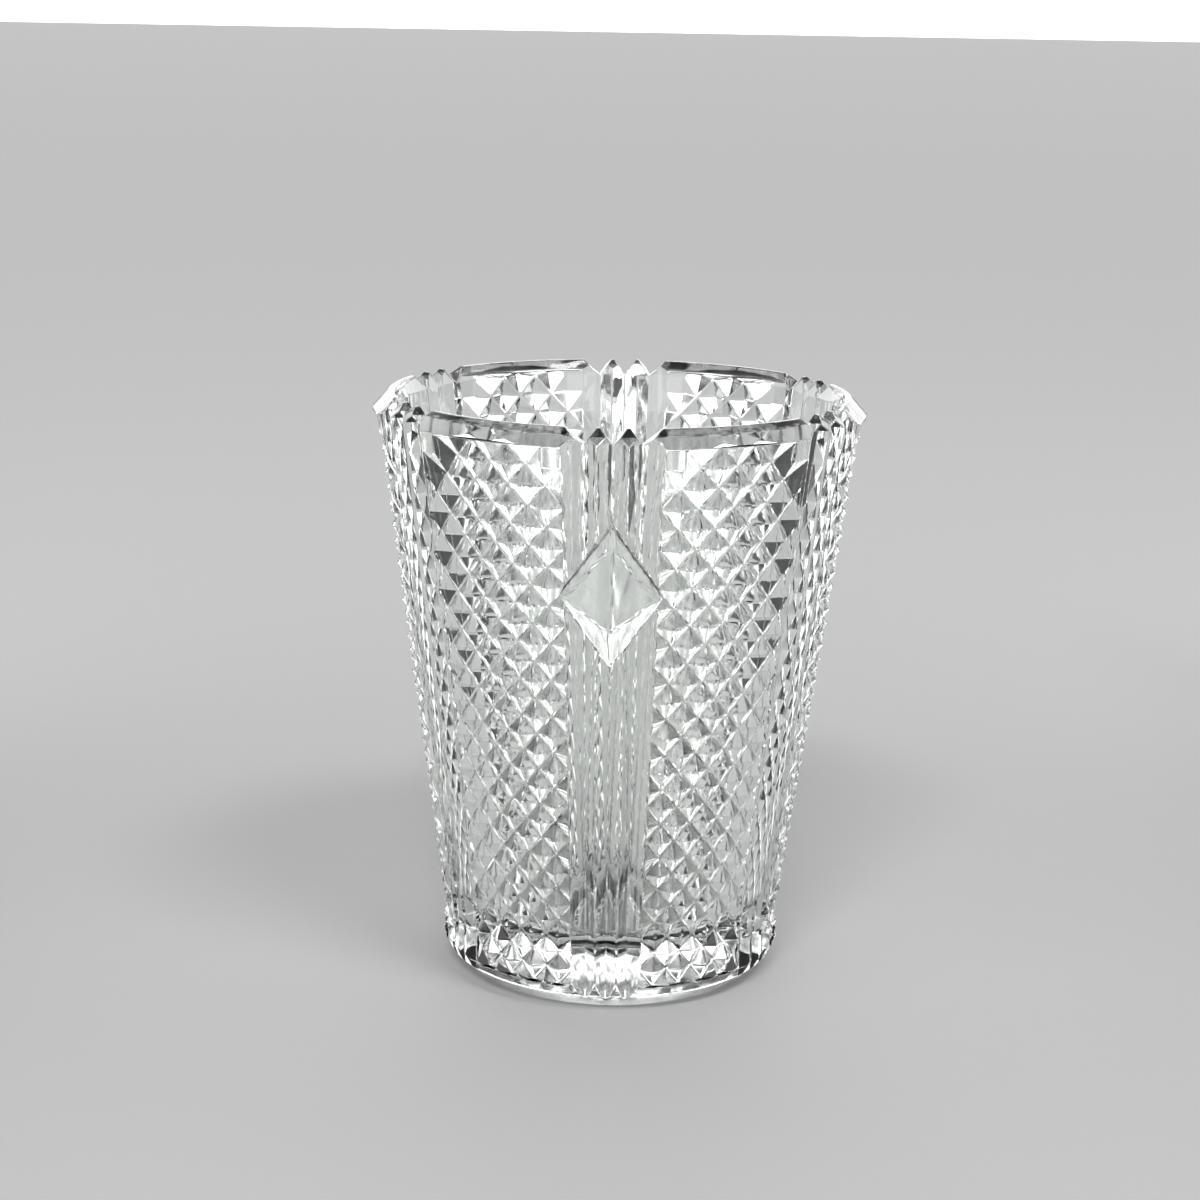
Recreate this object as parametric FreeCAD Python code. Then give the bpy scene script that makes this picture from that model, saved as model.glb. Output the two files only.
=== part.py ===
import FreeCAD, Part
import math
import os

# Clear pressed-glass tumbler: a turned vessel whose outside carries groups of upright ribs and,
# between them, panels of small pyramids. Millimetres, +Z up, origin at the middle of the foot.
# The front rib group, with the lozenge on it, faces -Y.

# Overall sizes
HEIGHT = 104.6  # foot to rim
SHOULDER_RADIUS = 42.95  # pyramid tips just under the rim band
HEEL_RADIUS = 30.85  # pyramid tips where the wall turns upright above the foot

# Rim band
RIM_BAND = 3.05  # height of the smooth bevel above the pyramids
RIM_PROUD = 0.4  # lower edge of the bevel, out beyond the pyramid tips
CREST_INSET = 3.35  # middle of the crest, in from the lower edge of the bevel
CREST_WIDTH = 0.9
CREST_ROUND = 0.35
INNER_STEP = 0.45  # bevel inside the mouth ends this far above the outer one
NOTCH_SILL = 0.3  # part of the bevel left below the notches
RIB_TIP = 0.5  # width of the blunt tip between two notches

# Inside
WALL_TOP = 4.7  # pyramid tip to bowl, at the top of the bowl
WALL_BOTTOM = 5.4  # pyramid tip to bowl, at the floor
FLOOR_HEIGHT = 10.0
FLOOR_ROUND = 6.0

# Foot
FOOT_BAND = 4.8  # height of the plain band below the pyramids
FOOT_TURN = 6.2  # height at which the outside starts to draw in
FOOT_PROUD = 0.1  # turned outside at that height, out beyond the pyramid tips
KNEE_HEIGHT = 3.1
KNEE_INSET = 1.25
KNEE_ROUND = 1.6
SOLE_INSET = 3.6  # edge of the sole, in from the knee
SOLE_ROUND = 0.8
RING_WIDTH = 5.7  # flat ring it stands on
RECESS_DEPTH = 1.2
RECESS_SLOPE = 2.5

# Rib groups: straight ribs with valleys between them, and a flat flank up to the panel each side
GROUPS = 6
RIBS = 2
RIB_HALF_PITCH = 3.42  # degrees, rib to valley
FLANK_EDGE = 11.3  # degrees, middle of the group to the edge of the panel
RIB_DEPTH = 2.5  # valley below the ribs, at the shoulder
FLANK_REACH = 3.0  # the flanks run on past the bands by this many flank widths

# Pyramid panels
HALF_COLUMNS = 4  # half pyramids each side of a panel's middle
ROWS = 30  # half pyramids from rim band to foot band
HEEL_ROW = 28  # row at which the wall turns upright; an even one
GROOVE_DEPTH = 2.2  # groove crossing below the tips, at the shoulder
ROW_SPREAD = 0.08  # top rows taller, and bottom rows shorter, than the mean by this share

# Lozenge on the front rib group
LOZENGE_WIDTH = 17.2
LOZENGE_HEIGHT = 24.4
LOZENGE_DROP = 28.0  # its middle below the rim
LOZENGE_PROUD = 0.35  # its corners, out beyond the rib tips
TABLE_TOP_INSET = 3.2
TABLE_BOTTOM_INSET = 6.6
TABLE_SIDE_INSET = 1.3
TABLE_PROUD = 1.3  # top of the table, out beyond the rib tips
TABLE_LEAN = 0.5  # foot of the table, in from its top

# Derived
RIM_LEDGE = HEIGHT - RIM_BAND
RIM_RADIUS = SHOULDER_RADIUS + RIM_PROUD
CREST_RADIUS = RIM_RADIUS - CREST_INSET
NOTCH_DEPTH = RIM_BAND - NOTCH_SILL
INNER_BEVEL = RIM_BAND - INNER_STEP
SECTOR = 360.0 / GROUPS
COLUMN_STEP = (SECTOR / 2 - FLANK_EDGE) / HALF_COLUMNS
RIB_SHARE = 1 - RIB_DEPTH / SHOULDER_RADIUS
GROOVE_SHARE = 1 - GROOVE_DEPTH / SHOULDER_RADIUS
NEAR = 1e-4


def point(angle, radius, z):
    """A point at an angle from the front, turning towards +X."""
    turn = math.radians(angle)
    return FreeCAD.Vector(radius * math.sin(turn), -radius * math.cos(turn), z)


def row_height(row):
    """Height of a row line; rows shorten evenly from rim to foot."""
    share = row / ROWS
    run = share + ROW_SPREAD * share * (1 - share)
    return RIM_LEDGE - run * (RIM_LEDGE - FOOT_BAND)


def tip_radius(z):
    """Radius that the rib and pyramid tips lie on: a cone, upright from the heel down."""
    heel = row_height(HEEL_ROW)
    share = max(0, (z - heel) / (RIM_LEDGE - heel))
    return HEEL_RADIUS + (SHOULDER_RADIUS - HEEL_RADIUS) * share


def rib_points(group, tip, z):
    """Valleys and ribs of one group, from its left valley to its right valley."""
    points = []
    for step in range(-RIBS, RIBS + 1):
        is_valley = (step + RIBS) % 2 == 0
        radius = tip * RIB_SHARE if is_valley else tip
        points.append(point(group * SECTOR + step * RIB_HALF_PITCH, radius, z))
    return points


def is_raised(column, row):
    """True at a pyramid tip, and on the flat corner at each end of a panel's top edge."""
    in_corner = abs(column) >= HALF_COLUMNS - 1 and row <= 1
    return in_corner or (column + row) % 2 == 0


def panel_point(group, column, row):
    z = row_height(row)
    radius = tip_radius(z)
    if not is_raised(column, row):
        radius = radius * GROOVE_SHARE
    return point((group + 0.5) * SECTOR + column * COLUMN_STEP, radius, z)


def flat(points):
    return Part.Face(Part.makePolygon(points + points[:1]))


def solid_from(faces):
    shell = Part.Shell(faces)
    solid = Part.Solid(shell)
    if solid.Volume < 0:
        solid.reverse()
    return solid


def cell_faces(group, column, row):
    """One quarter of a pyramid on each side of the groove that crosses the cell."""
    top_left = panel_point(group, column, row)
    top_right = panel_point(group, column + 1, row)
    low_right = panel_point(group, column + 1, row + 1)
    low_left = panel_point(group, column, row + 1)
    corners = [(column, row), (column + 1, row), (column + 1, row + 1), (column, row + 1)]
    if all(is_raised(*corner) for corner in corners):
        return [flat([top_left, low_left, low_right, top_right])]
    if (column + row) % 2 == 0:
        return [flat([top_left, low_left, top_right]), flat([top_right, low_left, low_right])]
    return [flat([top_left, low_left, low_right]), flat([top_left, low_right, top_right])]


def edge_walls(group, column):
    """Small upright walls that close the grooves at the side of a panel."""
    walls = []
    for row in range(1, ROWS):
        if not is_raised(column, row):
            rows = (row - 1, row, row + 1)
            walls.append(flat([panel_point(group, column, each) for each in rows]))
    return walls


def straight_edge(group, column, first, last):
    """Raised points down the side of a panel, from one row to another."""
    rows = [row for row in range(first, last + 1) if is_raised(column, row)]
    return [panel_point(group, column, row) for row in rows]


def rib_faces(group, first, last):
    """Ribs, valleys and the two flanks of a group, from one row to another."""
    high = row_height(first)
    low = row_height(last)
    upper = rib_points(group, tip_radius(high), high)
    lower = rib_points(group, tip_radius(low), low)
    faces = []
    for step in range(len(upper) - 1):
        faces.append(flat([upper[step], lower[step], lower[step + 1], upper[step + 1]]))
    left_edge = straight_edge(group - 1, HALF_COLUMNS, first, last)
    right_edge = straight_edge(group, -HALF_COLUMNS, first, last)
    faces.append(flat([upper[0]] + left_edge + [lower[0]]))
    faces.append(flat([upper[-1]] + right_edge + [lower[-1]]))
    return faces


def level_outline(row):
    """Outline of the whole pattern along a row line."""
    z = row_height(row)
    points = []
    for group in range(GROUPS):
        points.extend(rib_points(group, tip_radius(z), z))
        columns = range(-HALF_COLUMNS, HALF_COLUMNS + 1)
        points.extend([panel_point(group, column, row) for column in columns])
    return points


def patterned_body():
    """Ribs and pyramids between the rim band and the foot band."""
    faces = [flat(level_outline(0)), flat(level_outline(ROWS))]
    for group in range(GROUPS):
        faces.extend(rib_faces(group, 0, HEEL_ROW))
        faces.extend(rib_faces(group, HEEL_ROW, ROWS))
        faces.extend(edge_walls(group, -HALF_COLUMNS))
        faces.extend(edge_walls(group, HALF_COLUMNS))
        for column in range(-HALF_COLUMNS, HALF_COLUMNS):
            for row in range(ROWS):
                faces.extend(cell_faces(group, column, row))
    return solid_from(faces)


def band_outline(tip, z):
    """Ribs and flanks where they cross a band; the flanks run on out past it."""
    points = []
    for group in range(GROUPS):
        ribs = rib_points(group, tip, z)
        left = point(group * SECTOR - FLANK_EDGE, tip, z)
        right = point(group * SECTOR + FLANK_EDGE, tip, z)
        points.append(ribs[0] + (left - ribs[0]) * FLANK_REACH)
        points.extend(ribs)
        points.append(ribs[-1] + (right - ribs[-1]) * FLANK_REACH)
    return points


def fluted_block(low, high):
    """Solid between two outlines that have the same number of points."""
    faces = [flat(low), flat(high)]
    for i in range(len(low)):
        j = (i + 1) % len(low)
        faces.append(flat([low[i], low[j], high[j], high[i]]))
    return solid_from(faces)


def lozenge():
    """Raised diamond: four bevels around a table that is ridged down its middle."""
    middle = HEIGHT - LOZENGE_DROP
    top_z = middle + LOZENGE_HEIGHT / 2
    bottom_z = middle - LOZENGE_HEIGHT / 2
    side_x = LOZENGE_WIDTH / 2
    side_radius = tip_radius(middle) + LOZENGE_PROUD
    top = FreeCAD.Vector(0, -tip_radius(top_z) - LOZENGE_PROUD, top_z)
    bottom = FreeCAD.Vector(0, -tip_radius(bottom_z) - LOZENGE_PROUD, bottom_z)
    side = FreeCAD.Vector(side_x, -math.sqrt(side_radius ** 2 - side_x ** 2), middle)
    table_top_z = top_z - TABLE_TOP_INSET
    table_y = -tip_radius(table_top_z) - TABLE_PROUD
    table_top = FreeCAD.Vector(0, table_y, table_top_z)
    table_bottom = FreeCAD.Vector(0, table_y + TABLE_LEAN, bottom_z + TABLE_BOTTOM_INSET)
    upper_bevel = (side - top).cross(table_top - top)
    lower_bevel = (side - bottom).cross(table_bottom - bottom)
    hip = upper_bevel.cross(lower_bevel)
    table_side = side - hip * (TABLE_SIDE_INSET / hip.x)
    root_y = -tip_radius(bottom_z) + 2 * RIB_DEPTH

    def mirrored(vector):
        return FreeCAD.Vector(-vector.x, vector.y, vector.z)

    def root(vector):
        return FreeCAD.Vector(vector.x, root_y, vector.z)

    faces = []
    for placed in (lambda vector: vector, mirrored):
        corner = placed(side)
        inner = placed(table_side)
        faces.append(flat([top, corner, inner, table_top]))
        faces.append(flat([bottom, corner, inner, table_bottom]))
        faces.append(flat([table_top, inner, table_bottom]))
        faces.append(flat([top, corner, root(corner), root(top)]))
        faces.append(flat([bottom, corner, root(corner), root(bottom)]))
    faces.append(flat([root(top), root(side), root(bottom), root(mirrored(side))]))
    return solid_from(faces)


def notch(angle, left, right):
    """Upright V cut radially through the rim, with its point over a valley."""
    inner = CREST_RADIUS - CREST_INSET - WALL_TOP
    length = CREST_INSET * 2 + WALL_TOP * 2
    above = HEIGHT + NOTCH_DEPTH
    outline = [
        FreeCAD.Vector(-left, -inner, HEIGHT),
        FreeCAD.Vector(0, -inner, HEIGHT - NOTCH_DEPTH),
        FreeCAD.Vector(right, -inner, HEIGHT),
        FreeCAD.Vector(right, -inner, above),
        FreeCAD.Vector(-left, -inner, above),
    ]
    wedge = flat(outline).extrude(FreeCAD.Vector(0, -length, 0))
    wedge.rotate(FreeCAD.Vector(0, 0, 0), FreeCAD.Vector(0, 0, 1), angle)
    return wedge


def notches():
    """One notch over each valley; the outer two slope up to the panels."""
    to_rib = CREST_RADIUS * math.sin(math.radians(RIB_HALF_PITCH)) - RIB_TIP / 2
    last_valley = RIBS * RIB_HALF_PITCH
    to_panel = CREST_RADIUS * math.sin(math.radians(FLANK_EDGE - last_valley))
    cuts = []
    for group in range(GROUPS):
        for step in range(-RIBS, RIBS + 1, 2):
            left = to_panel if step == -RIBS else to_rib
            right = to_panel if step == RIBS else to_rib
            cuts.append(notch(group * SECTOR + step * RIB_HALF_PITCH, left, right))
    return cuts


def ring_edges(shape, radius, z):
    """Circular edges of a turned solid at a given radius and height."""
    found = []
    for edge in shape.Edges:
        is_circle = isinstance(edge.Curve, Part.Circle)
        if is_circle and abs(edge.Curve.Radius - radius) < NEAR and abs(edge.Curve.Center.z - z) < NEAR:
            found.append(edge)
    return found


def vessel():
    """Turned glass before the pattern: bowl, rim, a plain outside and the foot."""
    floor_radius = tip_radius(FLOOR_HEIGHT) - WALL_BOTTOM
    mouth_radius = tip_radius(RIM_LEDGE) - WALL_TOP
    foot_radius = HEEL_RADIUS + FOOT_PROUD
    knee_radius = foot_radius - KNEE_INSET
    sole_radius = knee_radius - SOLE_INSET
    recess_radius = sole_radius - RING_WIDTH
    crest_inner = CREST_RADIUS - CREST_WIDTH / 2
    crest_outer = CREST_RADIUS + CREST_WIDTH / 2
    profile = [
        (0, FLOOR_HEIGHT),
        (floor_radius, FLOOR_HEIGHT),
        (mouth_radius, HEIGHT - INNER_BEVEL),
        (crest_inner, HEIGHT),
        (crest_outer, HEIGHT),
        (RIM_RADIUS, RIM_LEDGE),
        (RIM_RADIUS, FOOT_TURN + RIM_RADIUS - foot_radius),
        (foot_radius, FOOT_TURN),
        (knee_radius, KNEE_HEIGHT),
        (sole_radius, 0),
        (recess_radius, 0),
        (recess_radius - RECESS_SLOPE, RECESS_DEPTH),
        (0, RECESS_DEPTH),
    ]
    section = flat([FreeCAD.Vector(radius, 0, z) for radius, z in profile])
    turned = section.revolve(FreeCAD.Vector(0, 0, 0), FreeCAD.Vector(0, 0, 1), 360)
    turned = turned.makeFillet(FLOOR_ROUND, ring_edges(turned, floor_radius, FLOOR_HEIGHT))
    for radius in (crest_inner, crest_outer):
        turned = turned.makeFillet(CREST_ROUND, ring_edges(turned, radius, HEIGHT))
    turned = turned.makeFillet(KNEE_ROUND, ring_edges(turned, knee_radius, KNEE_HEIGHT))
    turned = turned.makeFillet(SOLE_ROUND, ring_edges(turned, sole_radius, 0))
    return turned


def tumbler():
    rim_tip = tip_radius(HEIGHT + RIM_BAND)
    rim_block = fluted_block(
        band_outline(tip_radius(RIM_LEDGE), RIM_LEDGE), band_outline(rim_tip, HEIGHT + RIM_BAND)
    )
    foot_block = fluted_block(
        band_outline(HEEL_RADIUS, -FOOT_BAND), band_outline(HEEL_RADIUS, FOOT_BAND)
    )
    pattern = patterned_body().fuse([rim_block, foot_block, lozenge()])
    glass = vessel().common(pattern)
    glass = glass.cut(notches()).removeSplitter()
    return glass.Solids[0]


os.makedirs("parts", exist_ok=True)
tumbler().exportStep("parts/glass_tumbler.step")
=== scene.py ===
import math

import bmesh
import bpy
from mathutils import Matrix, Vector


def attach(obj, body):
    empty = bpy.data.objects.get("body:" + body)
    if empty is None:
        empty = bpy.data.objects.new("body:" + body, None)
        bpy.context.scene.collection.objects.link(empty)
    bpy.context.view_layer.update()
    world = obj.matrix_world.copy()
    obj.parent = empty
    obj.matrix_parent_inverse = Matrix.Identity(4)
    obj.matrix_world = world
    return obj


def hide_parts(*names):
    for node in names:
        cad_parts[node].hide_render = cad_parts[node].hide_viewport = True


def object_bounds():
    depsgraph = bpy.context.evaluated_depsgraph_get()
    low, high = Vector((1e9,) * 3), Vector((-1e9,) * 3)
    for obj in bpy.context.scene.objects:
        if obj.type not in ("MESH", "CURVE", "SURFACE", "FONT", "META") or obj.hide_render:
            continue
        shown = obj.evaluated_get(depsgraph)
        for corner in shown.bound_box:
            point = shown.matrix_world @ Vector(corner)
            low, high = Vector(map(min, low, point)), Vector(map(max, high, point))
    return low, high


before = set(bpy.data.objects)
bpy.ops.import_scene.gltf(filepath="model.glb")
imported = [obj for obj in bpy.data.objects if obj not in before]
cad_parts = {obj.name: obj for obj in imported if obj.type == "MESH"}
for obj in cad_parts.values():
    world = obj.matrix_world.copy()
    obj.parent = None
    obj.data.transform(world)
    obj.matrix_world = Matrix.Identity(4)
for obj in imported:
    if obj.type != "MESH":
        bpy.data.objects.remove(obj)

cad_low, cad_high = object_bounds()
TALL = cad_high.z - cad_low.z
RADIUS = (cad_high.x - cad_low.x) / 2

# Camera, where the photographer stood
CAMERA_SIDE = 1.25  # degrees round from the front, towards +X
CAMERA_RISE = 14.32  # degrees above the level
CAMERA_DISTANCE = 0.4353  # from the aim point, metres
CAMERA_ROLL = 0.97  # degrees
AIM_HEIGHT = 0.579  # share of the glass's height
AIM_PAN = 0.38  # degrees that the aim point sits right of the picture's middle
AIM_TILT = 0.79  # degrees that it sits below
LENS = 72.6  # focal length, millimetres
SENSOR = 36.0  # width, millimetres
CLIP_START = 0.01

# Flat facets and rounded ridges, metres and degrees
WELD = 2e-6
FLAT_ANGLE = 0.2  # neighbouring triangles that turn less than this are one facet
RIDGE_ANGLE = 12.0  # edges that turn more than this are rounded
SHARP_ANGLE = 9.0  # edges that turn more than this are shaded as a crease
RIDGE_WIDTH = 0.0003
LOZENGE_RIDGE_WIDTH = 0.0006
RIDGE_STEPS = 2
ROOM_SHARE = 0.3  # share of the narrowest face or edge beside a ridge that its rounding may take
LOZENGE_INSIDE = 0.93  # share of the lozenge that lies within its outline

# Regions of the surface, as shares of the glass's height or radius
LOZENGE_MIDDLE = 0.7323
LOZENGE_HALF_HEIGHT = 0.1195
LOZENGE_HALF_WIDTH = 0.203
RIB_GROUPS = 6
RIB_GROUP_REACH = 11.3  # degrees, each side of a group's middle
RIB_LOW = 0.02
RIB_HIGH = 0.971
RIB_INSIDE_RADIUS = 0.325
BOWL_LOW = 0.086
BOWL_RADIUS = 0.89
BOWL_FLOOR_HIGH = 0.29
BOWL_FLOOR_RADIUS = 0.65
BOWL_FLOOR_LEVEL = 0.9  # least upward part of a floor face's normal

# Finishes: material slots of the piece, in order
FACET, RIDGE, BOWL, RIB, LOZENGE = range(5)
ROUGHNESS = {
    "facet_glass": 0.12,
    "ridge_glass": 0.0,
    "bowl_glass": 0.0,
    "rib_glass": 0.0,
    "lozenge_glass": 0.14,
}
GLASS_TINT = (0.965, 0.985, 0.972, 1)
GLASS_IOR = 1.52
MOULD_MARKS = {  # noise scale, stretch upwards, depth in metres, strength
    "facet_glass": (2500, 1.0, 1e-5, 0.3),
    "rib_glass": (900, 0.015, 1.2e-5, 0.7),
    "lozenge_glass": (2500, 1.0, 1e-5, 0.3),
}

# Studio, metres, watts and linear brightness
FLOOR_SIZE = 60
FLOOR_GREY = 0.36
FLOOR_ROUGHNESS = 0.7
FLAG_SIZE = (0.18, 0.22)
FLAG_PLACES = {"flag_left": (-0.2, 0.01, 0.11), "flag_right": (0.2, 0.01, 0.11)}
FLAG_GREY = 0.02
FLAG_ROUGHNESS = 0.8
SOFTBOXES = {  # place, size, power
    "key": ((0.35, -0.45, 0.9), (0.3, 0.2), 4),
    "front": ((-0.1, -0.75, 0.85), (0.3, 0.1), 6),
}
SKY_STOPS = (  # position from straight down (0) to straight up (1), brightness
    (0.49, 2.4), (0.78, 2.2), (0.86, 0.2), (1.0, 0.15),
)


def add_camera():
    """Camera on a line from the aim point, then panned, tilted and rolled."""
    aim = Vector((0, 0, cad_low.z + AIM_HEIGHT * TALL))
    side = math.radians(CAMERA_SIDE)
    rise = math.radians(CAMERA_RISE)
    back = Vector((math.sin(side) * math.cos(rise), -math.cos(side) * math.cos(rise), math.sin(rise)))
    right = (-back).cross(Vector((0, 0, 1))).normalized()
    up = right.cross(-back)
    pan = right * math.tan(math.radians(AIM_PAN))
    tilt = up * math.tan(math.radians(AIM_TILT))
    forward = (tilt - pan - back).normalized()
    right = forward.cross(Vector((0, 0, 1))).normalized()
    up = right.cross(forward)
    roll = math.radians(CAMERA_ROLL)
    rolled_up = up * math.cos(roll) - right * math.sin(roll)
    rolled_right = forward.cross(rolled_up)
    axes = Matrix((rolled_right, rolled_up, -forward)).transposed()
    data = bpy.data.cameras.new("camera")
    data.lens = LENS
    data.sensor_width = SENSOR
    data.clip_start = CLIP_START
    camera = bpy.data.objects.new("camera", data)
    camera.matrix_world = Matrix.Translation(aim + back * CAMERA_DISTANCE) @ axes.to_4x4()
    bpy.context.scene.collection.objects.link(camera)
    bpy.context.scene.camera = camera


def softbox(name, place, size, power):
    """Rectangular light aimed at the middle of the glass."""
    data = bpy.data.lights.new(name, "AREA")
    data.shape = "RECTANGLE"
    data.size, data.size_y = size
    data.energy = power
    light = bpy.data.objects.new(name, data)
    light.location = place
    light.rotation_mode = "QUATERNION"
    toward = Vector((0, 0, TALL / 2)) - Vector(place)
    light.rotation_quaternion = toward.to_track_quat("-Z", "Y")
    bpy.context.scene.collection.objects.link(light)


def plain_material(name, grey, roughness):
    """Even grey for the floor and the flags."""
    material = bpy.data.materials.new(name)
    material.use_nodes = True
    shader = material.node_tree.nodes["Principled BSDF"]
    shader.inputs["Base Color"].default_value = (grey, grey, grey, 1)
    shader.inputs["Roughness"].default_value = roughness
    return material


def staged_plane(name, size, place, turn, material):
    """Flat sheet of the studio, which isn't part of the glass."""
    bpy.ops.mesh.primitive_plane_add(size=1.0, location=place, rotation=turn)
    plane = bpy.context.object
    plane.name = name
    plane.scale = (size[0], size[1], 1)
    plane.data.materials.append(material)
    return plane


def studio():
    """Pale floor, bright even surroundings, two softboxes and a dark flag on each side."""
    pale = plain_material("floor_pale", FLOOR_GREY, FLOOR_ROUGHNESS)
    staged_plane("floor", (FLOOR_SIZE, FLOOR_SIZE), (0, 0, cad_low.z), (0, 0, 0), pale)
    dark = plain_material("flag_dark", FLAG_GREY, FLAG_ROUGHNESS)
    for name, place in FLAG_PLACES.items():
        flag = staged_plane(name, FLAG_SIZE, place, (0, math.radians(90), 0), dark)
        flag.visible_camera = False
    for name, (place, size, power) in SOFTBOXES.items():
        softbox(name, place, size, power)

    world = bpy.data.worlds.new("studio")
    bpy.context.scene.world = world
    world.use_nodes = True
    nodes = world.node_tree.nodes
    links = world.node_tree.links
    direction = nodes.new("ShaderNodeTexCoord")
    split = nodes.new("ShaderNodeSeparateXYZ")
    spread = nodes.new("ShaderNodeMapRange")
    ramp = nodes.new("ShaderNodeValToRGB")
    spread.inputs["From Min"].default_value = -1
    links.new(direction.outputs["Generated"], split.inputs[0])
    links.new(split.outputs["Z"], spread.inputs["Value"])
    links.new(spread.outputs[0], ramp.inputs[0])
    links.new(ramp.outputs[0], nodes["Background"].inputs["Color"])
    elements = ramp.color_ramp.elements
    while len(elements) < len(SKY_STOPS):
        elements.new(0.5)
    for element, (position, level) in zip(elements, SKY_STOPS):
        element.position = position
        element.color = (level, level, level, 1)


def glass_material(name):
    """Clear glass with the roughness of one region."""
    material = bpy.data.materials.new(name)
    material.use_nodes = True
    shader = material.node_tree.nodes["Principled BSDF"]
    shader.inputs["Base Color"].default_value = GLASS_TINT
    shader.inputs["Roughness"].default_value = ROUGHNESS[name]
    shader.inputs["IOR"].default_value = GLASS_IOR
    shader.inputs["Transmission Weight"].default_value = 1.0
    return material


def add_mould_marks(material, scale, stretch, depth, strength):
    """Fine relief left by the mould: specks, or streaks where stretch is small."""
    nodes = material.node_tree.nodes
    links = material.node_tree.links
    place = nodes.new("ShaderNodeTexCoord")
    mapping = nodes.new("ShaderNodeMapping")
    noise = nodes.new("ShaderNodeTexNoise")
    bump = nodes.new("ShaderNodeBump")
    mapping.inputs["Scale"].default_value = (1, 1, stretch)
    noise.inputs["Scale"].default_value = scale
    bump.inputs["Distance"].default_value = depth
    bump.inputs["Strength"].default_value = strength
    links.new(place.outputs["Object"], mapping.inputs["Vector"])
    links.new(mapping.outputs["Vector"], noise.inputs["Vector"])
    links.new(noise.outputs["Fac"], bump.inputs["Height"])
    links.new(bump.outputs["Normal"], nodes["Principled BSDF"].inputs["Normal"])


def on_lozenge(place, share=1.0):
    """Whether a point lies on the front's lozenge, or on its inner part when share is below 1."""
    up = abs(place.z - cad_low.z - LOZENGE_MIDDLE * TALL) / (LOZENGE_HALF_HEIGHT * TALL)
    across = abs(place.x) / (LOZENGE_HALF_WIDTH * RADIUS)
    return place.y < 0 and up + across <= share


def facet_finish(face):
    """Which finish a face takes, from where it lies and which way it faces."""
    place = face.center
    height = (place.z - cad_low.z) / TALL
    out = math.hypot(place.x, place.y) / RADIUS
    outward = face.normal.x * place.x + face.normal.y * place.y
    on_wall = outward < 0 and height > BOWL_LOW and out < BOWL_RADIUS
    is_level = face.normal.z > BOWL_FLOOR_LEVEL
    on_floor = is_level and out < BOWL_FLOOR_RADIUS and BOWL_LOW < height < BOWL_FLOOR_HIGH
    if on_wall or on_floor:
        return BOWL
    if face.material_index == RIDGE:
        return RIDGE
    if on_lozenge(place):
        return LOZENGE
    sector = 360 / RIB_GROUPS
    angle = math.degrees(math.atan2(place.x, -place.y))
    off_middle = abs((angle + sector / 2) % sector - sector / 2)
    if off_middle < RIB_GROUP_REACH and RIB_LOW < height < RIB_HIGH and out > RIB_INSIDE_RADIUS:
        return RIB
    return FACET


def ridge_width(edge):
    """Width of an edge's rounding, smaller where the faces or edges beside it leave little room."""
    start, end = (corner.co for corner in edge.verts)
    along = (end - start).normalized()
    room = [
        max((corner.co - start).cross(along).length for corner in face.verts)
        for face in edge.link_faces
    ]
    room += [near.calc_length() for corner in edge.verts for near in corner.link_edges]
    full = LOZENGE_RIDGE_WIDTH if on_lozenge((start + end) / 2, LOZENGE_INSIDE) else RIDGE_WIDTH
    return min(full, ROOM_SHARE * min(room))


def glass_body():
    """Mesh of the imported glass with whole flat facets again, and a rounding width on each ridge."""
    work = bmesh.new()
    work.from_mesh(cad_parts["glass_tumbler"].data)
    bmesh.ops.remove_doubles(work, verts=work.verts, dist=WELD)
    bmesh.ops.dissolve_limit(
        work, angle_limit=math.radians(FLAT_ANGLE), use_dissolve_boundaries=False,
        verts=work.verts, edges=work.edges, delimit=set(),
    )
    weight = work.edges.layers.float.new("bevel_weight_edge")
    for edge in work.edges:
        if len(edge.link_faces) == 2 and edge.calc_face_angle() > math.radians(RIDGE_ANGLE):
            edge[weight] = ridge_width(edge) / LOZENGE_RIDGE_WIDTH
    for face in work.faces:
        face.smooth = True
    mesh = bpy.data.meshes.new("tumbler")
    work.to_mesh(mesh)
    work.free()
    for name in ROUGHNESS:
        material = glass_material(name)
        if name in MOULD_MARKS:
            add_mould_marks(material, *MOULD_MARKS[name])
        mesh.materials.append(material)
    return mesh


def round_ridges(glass):
    """Round each ridge by its own width, and keep the result within the glass's height."""
    bevel = glass.modifiers.new("ridges", "BEVEL")
    bevel.width = LOZENGE_RIDGE_WIDTH
    bevel.segments = RIDGE_STEPS
    bevel.limit_method = "WEIGHT"
    bevel.material = RIDGE
    bevel.use_clamp_overlap = False
    evaluated = glass.evaluated_get(bpy.context.evaluated_depsgraph_get())
    rounded = bpy.data.meshes.new_from_object(evaluated)
    glass.modifiers.clear()
    glass.data = rounded
    for corner in rounded.vertices:
        corner.co.z = min(max(corner.co.z, cad_low.z), cad_high.z)
    rounded.set_sharp_from_angle(angle=math.radians(SHARP_ANGLE))


def tumbler():
    """The visible glass, with its ridges rounded and each region finished."""
    glass = bpy.data.objects.new("tumbler", glass_body())
    bpy.context.scene.collection.objects.link(glass)
    round_ridges(glass)
    for face in glass.data.polygons:
        face.material_index = facet_finish(face)
    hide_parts("glass_tumbler")
    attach(glass, "root")


add_camera()
studio()
tumbler()
bpy.context.scene.view_settings.view_transform = "Standard"
